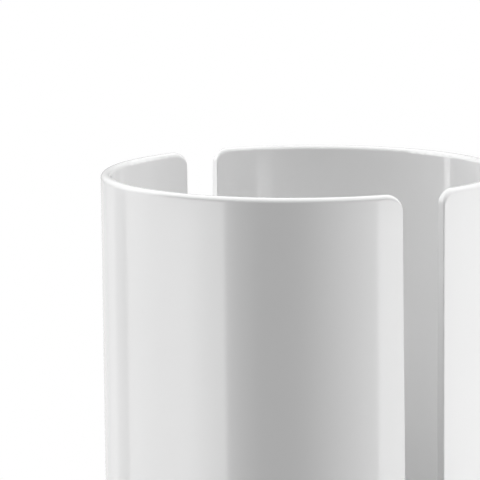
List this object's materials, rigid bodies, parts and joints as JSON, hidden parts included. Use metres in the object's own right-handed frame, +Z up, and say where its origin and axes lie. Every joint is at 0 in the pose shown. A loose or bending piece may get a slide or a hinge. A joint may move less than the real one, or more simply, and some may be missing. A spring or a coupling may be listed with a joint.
{
  "type": "umbrella stand",
  "caption": "Tall round umbrella stand: curved walls with open slits front and back around a weighted base, with a lift-out drip tray and mat.",
  "frame": {"origin": "on the floor, at the centre of the round stand", "axes": "+Z up, -Y towards the front slit, +X towards the right shell"},
  "size_m": [0.24, 0.24, 0.5],
  "materials": {
    "shell_white": "glossy moulded white",
    "base_white": "satin moulded white",
    "tray_grey": "satin moulded light grey",
    "mat_rubber": "matt dark grey",
    "cover_grey": "fine textured grey",
    "foot_rubber": "matt black",
    "ballast_steel": "zinc plated",
    "screw_steel": "zinc plated",
    "foam_black": "open cell foam"
  },
  "bodies": {
    "stand": {"left_shell": "shell_white", "right_shell": "shell_white", "base_tub": "base_white", "shell_screws": "screw_steel", "shell_washers": "screw_steel", "ballast_plate": "ballast_steel", "ballast_pad": "foam_black", "base_cover": "cover_grey", "cover_screws": "screw_steel", "foot_right": "foot_rubber", "foot_back": "foot_rubber", "foot_left": "foot_rubber", "foot_front": "foot_rubber"},
    "tray": {"drip_tray": "tray_grey"},
    "mat": {"tip_mat": "mat_rubber"}
  },
  "joints": [
    {"name": "tray_lift", "type": "slide", "parent": "stand", "child": "tray", "axis": [0, 0, 1], "range_m": [0, 0.49]},
    {"name": "mat_lift", "type": "slide", "parent": "tray", "child": "mat", "axis": [0, 0, 1], "range_m": [0, 0.49]}
  ]
}
